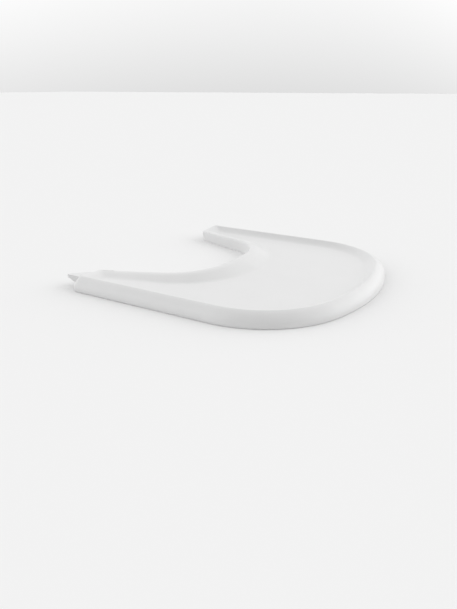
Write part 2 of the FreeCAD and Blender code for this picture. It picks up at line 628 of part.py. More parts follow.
def build_cover():
    """Plate that closes the arm under the bolt: bed, two cheeks and the upright that the spring pushes on."""
    end = f"({TIP} - dims.wall - 3)"
    start = f"({SPRING_SEAT} - 5)"
    middle = f"-{CREST}"
    plate = block("cover_plate", f"{middle} - dims.cover_width / 2", start, STRAP_SEAT,
                  "dims.cover_width", f"{end} - {start}", "dims.cover_thick")
    bed = block("cover_bed", f"{middle} - dims.bolt_width / 2 - 2.4", start, STRAP_SEAT,
                "dims.bolt_width + 4.8", f"{end} - {start}", f"dims.bolt_floor - 0.3 - {STRAP_SEAT}")
    cheeks = []
    for name, offset in (("near", "-dims.bolt_width / 2 - 2.4"), ("far", "dims.bolt_width / 2 + 0.4")):
        cheeks.append(block(f"cover_cheek_{name}", f"{middle} + {offset}", f"{BOLT_BACK} - dims.travel",
                            STRAP_SEAT, 2, f"{TIP} - 16 - {BOLT_BACK} + dims.travel", f"13 - {STRAP_SEAT}"))
    upright = block("cover_upright", f"{middle} - 4.5", f"{SPRING_SEAT} - 3", STRAP_SEAT, 9, 3,
                    f"dims.rod_height + 3.2 - {STRAP_SEAT}")
    ears, holes = [], []
    for number, (x, y) in enumerate(COVER_SCREWS):
        ears.append(block(f"cover_ear_{number}", f"{x} - dims.boss_radius - 1", f"{y} - dims.boss_radius",
                          STRAP_SEAT, "2 * dims.boss_radius + 2", "2 * dims.boss_radius",
                          "dims.cover_thick"))
        holes.append(rod(f"cover_hole_{number}", x, y, 0, "dims.screw_radius + 0.3", 20))
    holes.append(rod("cover_bore", middle, f"{SPRING_SEAT} - 10", "dims.rod_height",
                     "dims.rod_radius + 0.3", 20, along="y"))
    return cut("arm_cover", fuse("cover_blank", [plate, bed, upright] + cheeks + ears), holes)


def build_saddle():
    """Bracket half way along the arm that steadies the pull rod."""
    inner, middle = f"(-{COVER_INNER})", f"(-{CREST})"
    foot = block("saddle_foot", f"{middle} - dims.boss_radius", f"{SADDLE_LINE} - dims.boss_radius",
                 STRAP_SEAT, f"{inner} - {middle} + 2 * dims.boss_radius", "2 * dims.boss_radius",
                 "dims.cover_thick")
    post = block("saddle_post", f"{middle} - dims.boss_radius", f"{SADDLE_LINE} - 2", STRAP_SEAT,
                 "2 * dims.boss_radius", 4, f"dims.rod_height + 3 - {STRAP_SEAT}")
    holes = [rod("saddle_hole", inner, SADDLE_LINE, 0, "dims.screw_radius + 0.3", 20),
             rod("saddle_bore", middle, f"{SADDLE_LINE} - 10", "dims.rod_height",
                 "dims.rod_radius + 0.2", 20, along="y")]
    return cut("rod_saddle", fuse("saddle_blank", [foot, post]), holes)


def build_socket():
    """Insert in the right arm's end that takes a fixed peg on the chair."""
    body = block("socket_body", f"{PEG_LINE} - dims.socket_width / 2", SOCKET_FRONT, STRAP_SEAT,
                 "dims.socket_width", "dims.socket_length",
                 f"dims.peg_height + dims.socket_roof - {STRAP_SEAT}")
    foot = block("socket_foot", f"{PEG_LINE} - 4 - dims.boss_radius", f"{SOCKET_FRONT} - 10.5", STRAP_SEAT,
                 "12 + 2 * dims.boss_radius", 11, "dims.cover_thick")
    holes = [rod("socket_bore", PEG_LINE, f"{SOCKET_FRONT} - 1", "dims.peg_height", "dims.peg_radius",
                 "dims.socket_length + 2", along="y")]
    for number, (x, y) in enumerate(SOCKET_SCREWS):
        holes.append(rod(f"socket_hole_{number}", x, y, 0, "dims.screw_radius + 0.3", 20))
    return cut("peg_socket", fuse("socket_blank", [body, foot]), holes)


subparts += [build_handle(), build_yoke(), build_collars(), build_guide(), build_rod(), build_bolt(),
             build_spring(), build_cover(), build_saddle(), build_socket(),
             build_strap("outer"), build_strap("inner")]

# soft insert that the fingers pull on, glued inside the handle's slot
subparts.append(block("grip_insert", "-35", f"{HANDLE_FRONT} + dims.handle_wall", "dims.handle_floor + 1.5",
                      70, 1.5, f"{HANDLE_TOP} - dims.handle_floor - 3"))

# soft pads that rest on the chair's rail
PAD_FLOOR = f"({UNDER} - dims.pad_thick)"
subparts.append(block("rail_pad_front", "-30", f"{FRONT} + dims.belly_run - dims.belly_slope - 24",
                      PAD_FLOOR, 60, "dims.pad_width", "dims.pad_thick"))
for side, sign in (("left", "-"), ("right", "")):
    subparts.append(block(f"rail_pad_{side}", f"{sign}({CREST} - 44) - dims.pad_width / 2",
                          f"{SADDLE_LINE} + 10", PAD_FLOOR, "dims.pad_width", 50, "dims.pad_thick"))

subparts += [
    screw_group("cover_screws", COVER_SCREWS, STRAP_SEAT),
    screw_group("saddle_screw", SADDLE_SCREWS, STRAP_SEAT),
    screw_group("socket_screws", SOCKET_SCREWS, STRAP_SEAT),
    screw_group("strap_screws", STRAP_SCREWS, STRAP_SEAT),
    screw_group("guide_screws", GUIDE_SCREWS, STRAP_SEAT),
    screw_group("handle_screws", HANDLE_SCREWS, "dims.yoke_floor"),
]

# ---------------------------------------------------------------- check and write
doc.recompute()
for item in doc.Objects:
    if "Invalid" in item.State or "Error" in item.State:
        raise RuntimeError(f"{item.Label}: {item.State}")
for subpart in subparts:
    shape = subpart.Shape
    if shape.isNull() or not shape.isValid() or not shape.Solids:
        raise RuntimeError(f"{subpart.Label} has no valid solid")
    print(subpart.Label, len(shape.Solids), round(shape.Volume))
    shape.exportStep(f"parts/{subpart.Label}.step")
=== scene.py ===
import math

import bmesh
import bpy
import numpy as np
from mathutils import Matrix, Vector


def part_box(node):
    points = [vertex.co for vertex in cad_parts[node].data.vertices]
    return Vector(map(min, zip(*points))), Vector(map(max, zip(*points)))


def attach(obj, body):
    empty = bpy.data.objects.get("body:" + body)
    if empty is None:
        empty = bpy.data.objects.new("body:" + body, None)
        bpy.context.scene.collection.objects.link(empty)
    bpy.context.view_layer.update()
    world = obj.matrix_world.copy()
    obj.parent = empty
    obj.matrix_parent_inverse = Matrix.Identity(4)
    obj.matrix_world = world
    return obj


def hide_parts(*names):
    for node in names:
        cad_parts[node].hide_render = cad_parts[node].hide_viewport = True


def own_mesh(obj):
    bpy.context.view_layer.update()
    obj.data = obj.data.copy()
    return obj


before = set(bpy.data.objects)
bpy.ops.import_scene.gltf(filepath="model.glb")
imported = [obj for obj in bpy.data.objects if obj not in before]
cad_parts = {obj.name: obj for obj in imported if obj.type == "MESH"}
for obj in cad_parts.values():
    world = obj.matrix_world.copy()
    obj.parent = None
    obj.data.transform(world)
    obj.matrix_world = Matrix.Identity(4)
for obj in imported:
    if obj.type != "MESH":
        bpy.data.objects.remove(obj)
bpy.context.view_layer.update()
print("frame loaded")

mm = 0.001
shellLow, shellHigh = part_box("tray_shell")
frontY = shellLow[1] / mm
tipY = shellHigh[1] / mm
halfWidth = shellHigh[0] / mm


def linearColour(hexCode):  # an sRGB hex value as linear red, green, blue and alpha
    parts = [int(hexCode[i:i + 2], 16) / 255 for i in (1, 3, 5)]
    return [p / 12.92 if p <= 0.04045 else ((p + 0.055) / 1.055) ** 2.4 for p in parts] + [1.0]


def addNode(tree, kind, settings=None, links=None):  # one node, its settings by name and its inputs by socket
    node = tree.nodes.new(kind)
    for name, value in (settings or {}).items():
        if name in node.inputs:
            node.inputs[name].default_value = value
        else:
            setattr(node, name, value)
    for name, source in (links or {}).items():
        tree.links.new(source, node.inputs[name])
    return node


def newMaterial(name):
    material = bpy.data.materials.new(name)
    material.use_nodes = True
    material.node_tree.nodes.clear()
    return material, material.node_tree


mouldedSurface = {"glossLess": 0.05, "glossMore": 0.06, "bump": 0.35}  # spread of roughness, bump strength


# Moulded plastic: the eye reads a soft even sheen, a very fine spark-eroded grain and faint
# cloudiness where the melt flowed. grainSize and cloudSize are millimetres across.
def mouldedPlastic(name, hexCode, roughness, grainSize, grainDepth, cloudSize=45, cloudAmount=0.05, ior=1.49):
    material, tree = newMaterial(name)
    surface = mouldedSurface
    coords = addNode(tree, "ShaderNodeTexCoord").outputs["Object"]
    cloud = addNode(tree, "ShaderNodeTexNoise", {"Scale": 1000 / cloudSize, "Detail": 3.0},
                    {"Vector": coords})
    grain = addNode(tree, "ShaderNodeTexNoise", {"Scale": 1000 / grainSize, "Detail": 2.0},
                    {"Vector": coords})
    base = linearColour(hexCode)
    darker = [c * (1 - cloudAmount) for c in base[:3]] + [1.0]
    tone = addNode(tree, "ShaderNodeMix", {"data_type": "RGBA"})
    tone.inputs[6].default_value = darker
    tone.inputs[7].default_value = base
    tree.links.new(cloud.outputs["Fac"], tone.inputs[0])
    gloss = addNode(tree, "ShaderNodeMapRange",
                    {"To Min": roughness - surface["glossLess"], "To Max": roughness + surface["glossMore"]},
                    {"Value": cloud.outputs["Fac"]})
    bump = addNode(tree, "ShaderNodeBump", {"Strength": surface["bump"], "Distance": grainDepth * mm},
                   {"Height": grain.outputs["Fac"]})
    shader = addNode(tree, "ShaderNodeBsdfPrincipled", {"IOR": ior},
                     {"Base Color": tone.outputs[2], "Roughness": gloss.outputs["Result"],
                      "Normal": bump.outputs["Normal"]})
    addNode(tree, "ShaderNodeOutputMaterial", None, {"Surface": shader.outputs[0]})
    return material


steelSurface = {"glossLess": 0.07, "glossMore": 0.1, "streakShade": 0.82}


# Drawn or plated steel: a bright grey with streaks along the wire or turned marks, streakSize in millimetres.
def steel(name, hexCode, roughness, streakSize, stretch):
    material, tree = newMaterial(name)
    surface = steelSurface
    coords = addNode(tree, "ShaderNodeTexCoord").outputs["Object"]
    turned = addNode(tree, "ShaderNodeMapping", {"Scale": stretch}, {"Vector": coords})
    streak = addNode(tree, "ShaderNodeTexNoise", {"Scale": 1000 / streakSize, "Detail": 4.0},
                     {"Vector": turned.outputs["Vector"]})
    gloss = addNode(tree, "ShaderNodeMapRange",
                    {"To Min": roughness - surface["glossLess"], "To Max": roughness + surface["glossMore"]},
                    {"Value": streak.outputs["Fac"]})
    base = linearColour(hexCode)
    tone = addNode(tree, "ShaderNodeMix", {"data_type": "RGBA"})
    tone.inputs[6].default_value = [c * surface["streakShade"] for c in base[:3]] + [1.0]
    tone.inputs[7].default_value = base
    tree.links.new(streak.outputs["Fac"], tone.inputs[0])
    shader = addNode(tree, "ShaderNodeBsdfPrincipled", {"Metallic": 1.0},
                     {"Base Color": tone.outputs[2], "Roughness": gloss.outputs["Result"]})
    addNode(tree, "ShaderNodeOutputMaterial", None, {"Surface": shader.outputs[0]})
    return material


# The tray and nose are satin white from a finely textured mould. The inner parts are the same plastic undyed,
# so slightly warmer and duller; handle and yoke are coarser and greyer; the pads are rubber, with no sheen.
whiteGloss = mouldedPlastic("white polypropylene satin moulding", "#E1E1E1", 0.30, 0.9, 0.02)
noseWhite = mouldedPlastic("white acetal bolt moulding", "#DFDFDF", 0.34, 0.7, 0.02, 20, 0.04)
innerWhite = mouldedPlastic("natural white polypropylene matt moulding", "#E4E4E1", 0.52, 0.8, 0.04, 25, 0.06)
handleGrey = mouldedPlastic("light grey ABS textured moulding", "#C9CCCF", 0.48, 1.0, 0.08, 30, 0.05, 1.53)
yokeGrey = mouldedPlastic("grey glass filled nylon moulding", "#BDBFC0", 0.58, 0.7, 0.06, 12, 0.12, 1.53)
padGrey = mouldedPlastic("grey thermoplastic rubber matt moulding", "#8F9295", 0.72, 1.1, 0.12, 14, 0.08, 1.5)
rodSteel = steel("cold drawn steel rod", "#B9BABC", 0.30, 1.5, (1.0, 0.03, 1.0))
springSteel = steel("bright music wire", "#A9AAAD", 0.26, 0.8, (1.0, 1.0, 1.0))
screwZinc = steel("zinc plated steel screw", "#BFC1C2", 0.32, 1.2, (1.0, 1.0, 0.4))
print("materials made")

trayShape = {  # millimetres and degrees; the same driving sizes as the frame
    "wall": 2.4, "rimTop": 23.8, "rimReach": 17.5, "ridgeRadius": 5, "skirtFoot": 1, "coveRadius": 29,
    "floorTop": 14.2, "frontRadius": 373, "cornerRadius": 149,
    "bellyRun": 263, "bellyFrontRadius": 462, "bellyFrontAngle": 4.9, "bellyFlare": 18.3,
    "bellyTop": 28, "bellyTipTop": 20, "bellyLip": 3.5, "bellyCrown": 0.42, "bellySlope": (42, 31, 24),
    "armTipWidth": 48.6, "tipSlope": 30, "tipLand": 10, "tipRound": 3, "tipSlant": 3,
    "outerCorner": 12, "innerCorner": 8, "blend": 1.6,
    "rowsAcross": 84, "rowsAlong": 330, "rowsDown": 26, "evenRows": 0.45, "shareStretch": 1.08,
    "endStretch": 60, "endZone": 40, "endTurn": (0.4, 0.5), "footTuck": 0.8, "fadeRise": 4, "weld": 0.02,
    "outerPoints": 160, "bellyPoints": 120, "outerPast": 40, "bellyPast": 30, "normalPasses": 3,
}
crestX = halfWidth - trayShape["rimReach"]


# Outer ridge line: a broad front arc, a tighter corner arc tangent to it, then a straight arm. It is
# worked out for +X, from the middle of the front to the arm end, as x = x0 + r sin(a), y = y0 - r cos(a).
def outerRidge(count):
    broad, corner = trayShape["frontRadius"], trayShape["cornerRadius"]
    cornerX = crestX - corner
    swing = math.asin(cornerX / (broad - corner))
    broadY = frontY + trayShape["rimReach"] + broad
    cornerY = broadY - (broad - corner) * math.cos(swing)
    lengths = (broad * swing, corner * (math.pi / 2 - swing), tipY - trayShape["outerCorner"] - cornerY)
    travel = np.linspace(0, sum(lengths), count)
    first = travel / broad
    second = swing + (travel - lengths[0]) / corner
    third = cornerY + travel - lengths[0] - lengths[1]
    onFirst, onSecond = travel <= lengths[0], travel <= lengths[0] + lengths[1]
    x = np.where(onFirst, broad * np.sin(first),
                 np.where(onSecond, cornerX + corner * np.sin(second), crestX))
    y = np.where(onFirst, broadY - broad * np.cos(first),
                 np.where(onSecond, cornerY - corner * np.cos(second), third))
    return np.stack([x, y], 1)


# Scooped edge line for +X: a flat arc in the middle, a tighter arc, then a straight run that flares out.
def bellyEdge(count, endY):
    broad, start = trayShape["bellyFrontRadius"], math.radians(trayShape["bellyFrontAngle"])
    stop = math.radians(90 - trayShape["bellyFlare"])
    middleY = frontY + trayShape["bellyRun"]
    firstX, firstY = broad * math.sin(start), middleY + broad * (1 - math.cos(start))
    gapX, gapY = crestX - trayShape["armTipWidth"] - firstX, tipY - firstY
    tight = (gapX * math.sin(stop) - gapY * math.cos(stop)) / (1 - math.cos(stop - start))
    secondX = firstX + tight * (math.sin(stop) - math.sin(start))
    secondY = firstY + tight * (math.cos(start) - math.cos(stop))
    straight = (endY - secondY) / math.sin(stop)
    lengths = (broad * start, tight * (stop - start), straight)
    travel = np.linspace(0, sum(lengths), count)
    first = travel / broad
    second = start + (travel - lengths[0]) / tight
    third = travel - lengths[0] - lengths[1]
    onFirst, onSecond = travel <= lengths[0], travel <= lengths[0] + lengths[1]
    x = np.where(onFirst, broad * np.sin(first),
                 np.where(onSecond, firstX + tight * (np.sin(second) - math.sin(start)),
                          secondX + third * math.cos(stop)))
    y = np.where(onFirst, middleY + broad * (1 - np.cos(first)),
                 np.where(onSecond, firstY + tight * (math.cos(start) - np.cos(second)),
                          secondY + third * math.sin(stop)))
    return np.stack([x, y], 1)


def nearest(points, path):  # distance to a chain of short segments, and the share of the chain where it lies
    start, step = path[:-1], path[1:] - path[:-1]
    best = np.full(len(points), 1e9)
    share = np.zeros(len(points))
    for index in range(len(start)):
        gap = points - start[index]
        along = np.clip(gap @ step[index] / (step[index] @ step[index]), 0, 1)
        away = np.hypot(*(gap - along[:, None] * step[index]).T)
        closer = away < best
        best = np.where(closer, away, best)
        share = np.where(closer, (index + along) / len(start), share)
    return best, share


def smoothMax(a, b, width):  # the larger of two, with a fillet of about width where they cross
    return (a + b + np.sqrt((a - b) ** 2 + width ** 2)) / 2


def easeRise(t):  # 0 to 1 with level ends
    t = np.clip(t, 0, 1)
    return t * t * (3 - 2 * t)


# Height of the tray's top at points (x, y): the floor, and over it the larger of three rises. The outer one
# is a ridge arc and a cove arc by distance from the ridge line. The scooped one is a parabolic crown and then
# a straight slope by distance from the scooped edge, and its width runs through three values by a parabola.
# The arm end is a ramp and a land by y.
def trayHeight(points):
    s = trayShape
    mirrored = np.stack([np.abs(points[:, 0]), points[:, 1]], 1)
    outerPath = np.vstack([outerRidge(s["outerPoints"]), [[crestX, tipY + s["outerPast"]]]])
    bellyPath = bellyEdge(s["bellyPoints"], tipY + s["bellyPast"])
    outward, _ = nearest(mirrored, outerPath)
    inward, share = nearest(mirrored, bellyPath)
    share = np.clip(share * s["shareStretch"], 0, 1)  # reaches 1 a little before the path's end
    # outer rim
    ridge, cove = s["ridgeRadius"], s["coveRadius"]
    turn = math.acos(1 - (s["rimTop"] - s["floorTop"]) / (cove + ridge))
    swap = ridge * math.sin(turn)
    footAway = (ridge + cove) * math.sin(turn)
    ridgeZ = s["rimTop"] - ridge + np.sqrt(np.maximum(ridge ** 2 - np.minimum(outward, swap) ** 2, 0))
    fromFoot = np.clip(footAway - outward, 0, cove)
    coveZ = s["floorTop"] + cove - np.sqrt(cove ** 2 - fromFoot ** 2)
    outerRise = np.where(outward < swap, ridgeZ, coveZ) - s["floorTop"]
    # scooped edge
    top = s["bellyTop"] + (s["bellyTipTop"] - s["bellyTop"]) * easeRise(share)
    wide, mid, narrow = s["bellySlope"]
    width = (wide * (1 - share) * (1 - 2 * share) + 4 * mid * share * (1 - share)
             + narrow * share * (2 * share - 1))
    part, crown = inward / width, s["bellyCrown"]
    steep = 1 / (1 - crown / 2)
    fallen = np.where(part < crown, steep * part ** 2 / (2 * crown), steep * (part - crown / 2))
    bellyRise = (top - s["floorTop"]) * (1 - fallen)
    bellyRise = smoothMax(bellyRise, np.zeros_like(bellyRise), s["blend"])
    # arm end
    across = np.clip((mirrored[:, 0] - (crestX - s["armTipWidth"])) / s["armTipWidth"], 0, 1)
    landZ = s["bellyTipTop"] + (s["rimTop"] - s["bellyTipTop"]) * across - s["floorTop"]
    climb = (mirrored[:, 1] - (tipY - s["tipSlope"])) / (s["tipSlope"] - s["tipLand"])
    tipRise = -smoothMax(-climb * landZ, -landZ, s["blend"])
    rise = smoothMax(outerRise, bellyRise, s["blend"])
    rise = smoothMax(rise, tipRise, s["blend"])
    return s["floorTop"] + rise - s["blend"] / 2 * np.clip(1 - rise / s["fadeRise"], 0, 1)


def gridMesh(name, rings, closed=False):  # quads between rows of points, rings[row, column, xyz], in metres
    rows, columns = rings.shape[:2]
    index = np.arange(rows * columns).reshape(rows, columns)
    if closed:
        index = np.hstack([index, index[:, :1]])
    quads = np.stack([index[:-1, :-1], index[:-1, 1:], index[1:, 1:], index[1:, :-1]], -1).reshape(-1, 4)
    mesh = bpy.data.meshes.new(name)
    mesh.from_pydata(rings.reshape(-1, 3).tolist(), [], quads.tolist())
    return mesh


# Plan of the arm end for +X: the end line is straight and turns into the sides by a corner arc at each end,
# so y = end - r + sqrt(r^2 - d^2), where d is how far x has come past the start of that arc.
def endLine(x, innerX):
    s = trayShape
    end = tipY - s["tipRound"]
    outer, inner = s["outerCorner"] - s["tipRound"], s["innerCorner"]
    pastOuter = np.clip(x - (crestX - outer), 0, outer)
    pastInner = np.clip(innerX + inner - x, 0, inner)
    return (end - outer + np.sqrt(outer ** 2 - pastOuter ** 2)) - inner + np.sqrt(inner ** 2 - pastInner ** 2)


# The skin is two grids. The top runs from the scooped edge to the outer ridge, with trayHeight as z. The side
# starts at the crest loop round it: at a crest point p with plan normal n, each row lies at p + n * offset.
# Offset and height come from three profiles, of the outer skirt, the scooped lip and the arm end, weighted by
# how much the point belongs to each. In the outer profile a ridge arc runs into a wider skirt arc.
def traySkin():
    s = trayShape
    along, across = s["rowsAlong"] // 2, s["rowsAcross"]
    endY = tipY - s["tipRound"] - s["innerCorner"]
    outer = outerRidge(along)
    belly = bellyEdge(along, endY)
    # rows across: part even, the rest crowded towards both crests
    even = np.linspace(0, 1, across)
    share = s["evenRows"] * even + (1 - s["evenRows"]) * (1 - np.cos(math.pi * even)) / 2
    half = belly[:, None, :] + (outer - belly)[:, None, :] * share[None, :, None]
    # the last stretch of the arm is drawn out to the rounded end line
    startY = endY - s["endStretch"]
    lineY = half[-1, :, 1]
    target = endLine(half[-1, :, 0], belly[-1, 0])
    pull = np.clip((half[:, :, 1] - startY) / (lineY - startY), 0, 1)
    half[:, :, 1] += easeRise(pull) * pull * (target - lineY)
    left = half[::-1] * [-1, 1]
    grid = np.vstack([left, half[1:]])
    flat = grid.reshape(-1, 2)
    z = trayHeight(flat).reshape(grid.shape[:2])
    top = np.concatenate([grid, z[..., None]], -1)
    # closed crest loop: outer ridge, right end, scooped edge backwards, left end
    loop = np.vstack([top[:, -1], top[-1, ::-1][1:], top[::-1, 0][1:], top[0, :][1:-1]])
    count = len(loop)
    ahead = np.roll(loop, -1, 0)[:, :2] - np.roll(loop, 1, 0)[:, :2]
    ahead = ahead / np.linalg.norm(ahead, axis=1, keepdims=True)
    normal = np.stack([ahead[:, 1], -ahead[:, 0]], 1)
    for _ in range(s["normalPasses"]):
        normal = (np.roll(normal, 1, 0) + 2 * normal + np.roll(normal, -1, 0)) / 4
        normal = normal / np.linalg.norm(normal, axis=1, keepdims=True)
    # how much each point belongs to the outer side, the scooped side and the arm end
    isOuter = np.zeros(count)
    isOuter[:len(top)] = 1
    turnFrom, turnOver = s["endTurn"]
    endward = easeRise((normal[:, 1] - turnFrom) / turnOver) * (loop[:, 1] > tipY - s["endZone"])
    cornerTurn = np.where(np.abs(loop[:, 0]) > crestX - s["outerCorner"], 1 - endward, 0)
    isBelly = np.zeros(count)
    isBelly[len(top) + across - 1:2 * len(top) + across - 2] = 1
    isBelly = isBelly * (1 - endward)
    isOuter = np.clip(np.maximum(isOuter, cornerTurn) * (1 - endward), 0, 1)
    isEnd = np.clip(1 - isOuter - isBelly, 0, 1)
    # profiles from the crest to the ground, as distance outwards and height
    rows = s["rowsDown"]
    rise = s["rimTop"] - s["ridgeRadius"] - s["skirtFoot"]
    reach, ridge = s["rimReach"], s["ridgeRadius"]
    skirt = (rise ** 2 + reach ** 2 - ridge ** 2) / (2 * (reach - ridge))
    leave = math.acos(rise / (skirt - ridge))
    roundRows = rows // 3
    roll = np.linspace(0, leave, roundRows)
    sweep = np.linspace(leave, math.pi / 2, rows - roundRows)[1:]
    outAcross = np.concatenate([ridge * np.sin(roll), reach - skirt + skirt * np.sin(sweep),
                                [reach - s["footTuck"]]])
    outHeight = np.concatenate([s["rimTop"] - ridge + ridge * np.cos(roll),
                                s["skirtFoot"] + skirt * np.cos(sweep), [0]])

    def wallProfile(radius, topZ, slant):  # a quarter round, then a straight wall that leans in by slant
        bend = np.linspace(0, math.pi / 2, roundRows)
        down = np.linspace(0, 1, rows - roundRows + 1)[1:]
        acrossWall = np.concatenate([radius * np.sin(bend), radius - slant * down])
        heightWall = np.concatenate([topZ - radius + radius * np.cos(bend), (topZ - radius) * (1 - down)])
        return acrossWall, heightWall

    lipAcross, lipHeight = wallProfile(s["bellyLip"], s["bellyTop"], 0)
    endAcross, endHeight = wallProfile(s["tipRound"], s["rimTop"], s["tipSlant"])
    offset = (isOuter[None] * outAcross[:, None] + isBelly[None] * lipAcross[:, None]
              + isEnd[None] * endAcross[:, None])

    def height(profile, topZ):  # the rounding keeps its size, the rest fits the crest's own height
        lowered = loop[None, :, 2] - (topZ - profile[:, None])
        scaled = profile[:, None] / topZ * loop[None, :, 2]
        blendDown = easeRise((topZ - profile[:, None]) / topZ)
        return lowered * (1 - blendDown) + scaled * blendDown

    z = (isOuter[None] * height(outHeight, s["rimTop"]) + isBelly[None] * height(lipHeight, s["bellyTop"])
         + isEnd[None] * height(endHeight, s["rimTop"]))
    z[0] = loop[:, 2]
    z[-1] = 0
    plan = loop[None, :, :2] + normal[None] * offset[:, :, None]
    side = np.concatenate([plan, z[..., None]], -1)
    meshTop = gridMesh("traySkinTop", top[:, ::-1] * mm)
    meshSide = gridMesh("traySkinSide", side * mm, closed=True)
    return meshTop, meshSide


def joinMeshes(name, meshes, weld):  # one mesh from several, points within weld merged, faces outwards
    work = bmesh.new()
    for mesh in meshes:
        work.from_mesh(mesh)
        bpy.data.meshes.remove(mesh)
    bmesh.ops.remove_doubles(work, verts=work.verts, dist=weld)
    bmesh.ops.recalc_face_normals(work, faces=work.faces)
    mesh = bpy.data.meshes.new(name)
    work.to_mesh(mesh)
    work.free()
    return mesh


# A finished piece: its body, the frame node that it replaces and its material slot, where it has them.
def addPiece(name, mesh, material, body, replaced=None, flat=False):
    piece = bpy.data.objects.new(name, mesh)
    bpy.context.collection.objects.link(piece)
    mesh.materials.append(material)
    mesh.polygons.foreach_set("use_smooth", np.full(len(mesh.polygons), not flat))
    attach(piece, body)
    if replaced:
        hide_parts(replaced)
    return piece


skinMesh = joinMeshes("traySkin", traySkin(), trayShape["weld"] * mm)
# the topmost level face tells whether the whole skin points outwards
highest = max(skinMesh.polygons, key=lambda face: face.center.z if abs(face.normal.z) > 0.5 else -1)
if highest.normal.z < 0:
    skinMesh.flip_normals()
tray = addPiece("traySkin", skinMesh, whiteGloss, "tray", "tray_shell")
thick = tray.modifiers.new("wall thickness", "SOLIDIFY")
thick.thickness = trayShape["wall"] * mm
thick.offset = -1

# Window in the left arm's end for the latch nose: its outline seen from behind, carried through the end wall.
noseLow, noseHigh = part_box("latch_bolt")
window = {"gap": 0.5, "fall": 3, "shave": 3.9, "depth": 9, "past": 30, "weld": 0.001}  # millimetres


def windowMesh():
    w = window
    side, far = noseLow[0] / mm - w["gap"], noseHigh[0] / mm + w["gap"]
    low, high = noseLow[2] / mm - w["gap"], noseHigh[2] / mm + w["gap"]
    outline = np.array([(side, low), (far, low), (far, high - w["fall"]), (side + w["shave"], high),
                        (side, high - w["shave"])])
    rings = [np.insert(np.tile(outline.mean(0), (5, 1)) if closedEnd else outline, 1, y, axis=1)
             for y, closedEnd in ((tipY - w["depth"], True), (tipY - w["depth"], False),
                                  (tipY + w["past"], False), (tipY + w["past"], True))]
    return joinMeshes("noseWindow", [gridMesh("noseWindow", np.stack(rings) * mm, closed=True)],
                      w["weld"] * mm)


def applyModifiers(piece):  # the mesh as its modifiers leave it, with none left on the piece
    ready = bpy.data.meshes.new_from_object(piece.evaluated_get(bpy.context.evaluated_depsgraph_get()))
    piece.modifiers.clear()
    piece.data = ready


applyModifiers(tray)
cutter = bpy.data.objects.new("noseWindow", windowMesh())
bpy.context.collection.objects.link(cutter)
opening = tray.modifiers.new("nose window", "BOOLEAN")
opening.operation = "DIFFERENCE"
opening.solver = "EXACT"
opening.object = cutter
applyModifiers(tray)
bpy.data.objects.remove(cutter)
print("tray skin made", len(tray.data.polygons))

underShape = {  # millimetres; y runs from the tray's front edge, or from the arm ends where it is negative
    "ribAcross": (-158, -95, -40, 40, 95, 158), "ribSpans": ((80, 156), (190, 262)), "ribThick": 1.8,
    "ribFloor": 5, "postRadius": 4, "postFloor": 5.2, "sink": 0.3, "rowsAlong": 40, "rowsRound": 28,
    "weld": 0.01,
    "posts": ((-199, -84), (-199, -44), (-199, 290), (201.5, -25.2), (213.5, -25.2), (-125, 158), (-125, 188),
              (-65, 158), (-65, 188), (62.4, 36), (62.4, 70), (-62.4, 36), (-62.4, 70)),
}


def underside(x, y):  # height of the floor's lower face, a little sunk into it
    return trayHeight(np.stack([x, y], 1)) - trayShape["wall"] + underShape["sink"]


# A rib is an upright strip: its four corners carried along y, the upper two following the underside.
def ribMesh(x, startY, stopY):
    s = underShape
    y = np.linspace(startY, stopY, s["rowsAlong"])
    top = underside(np.full_like(y, x), y)
    low = np.full_like(y, s["ribFloor"])
    near, far = np.full_like(y, x - s["ribThick"] / 2), np.full_like(y, x + s["ribThick"] / 2)
    rings = np.stack([np.stack(corner, 1) for corner in
                      ((near, y, low), (near, y, top), (far, y, top), (far, y, low))], 1)
    ends = [np.repeat(rings[i].mean(0)[None, None], 4, 1) for i in (0, -1)]
    return gridMesh("rib", np.vstack([ends[0], rings, ends[1]]) * mm, closed=True)


# A post is a circle carried up from its foot to the underside, closed at the foot.
def postMesh(x, y):
    s = underShape
    turn = np.linspace(0, 2 * math.pi, s["rowsRound"], endpoint=False)
    ringX, ringY = x + s["postRadius"] * np.cos(turn), y + s["postRadius"] * np.sin(turn)
    top = underside(ringX, ringY)
    low = np.full_like(turn, s["postFloor"])
    rings = [np.stack([np.full_like(turn, x), np.full_like(turn, y), low], 1),
             np.stack([ringX, ringY, low], 1), np.stack([ringX, ringY, top], 1)]
    return gridMesh("post", np.stack(rings) * mm, closed=True)


ribs = [ribMesh(x, frontY + start, frontY + stop)
        for x in underShape["ribAcross"] for start, stop in underShape["ribSpans"]]
addPiece("trayRibs", joinMeshes("trayRibs", ribs, underShape["weld"] * mm), whiteGloss, "tray",
         flat=True)
posts = [postMesh(x, y + (tipY if y < 0 else frontY)) for x, y in underShape["posts"]]
addPiece("trayPosts", joinMeshes("trayPosts", posts, underShape["weld"] * mm), whiteGloss, "tray",
         flat=True)
print("ribs and posts made")

springLow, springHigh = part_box("latch_spring")
# wire is half its thickness, in millimetres; spare is the share left over when the coil is pressed
coil = {"wire": 0.5, "turns": 8, "deadTurns": 1.0, "stepsPerTurn": 40, "around": 10, "spare": 0.01,
        "weld": 0.001}


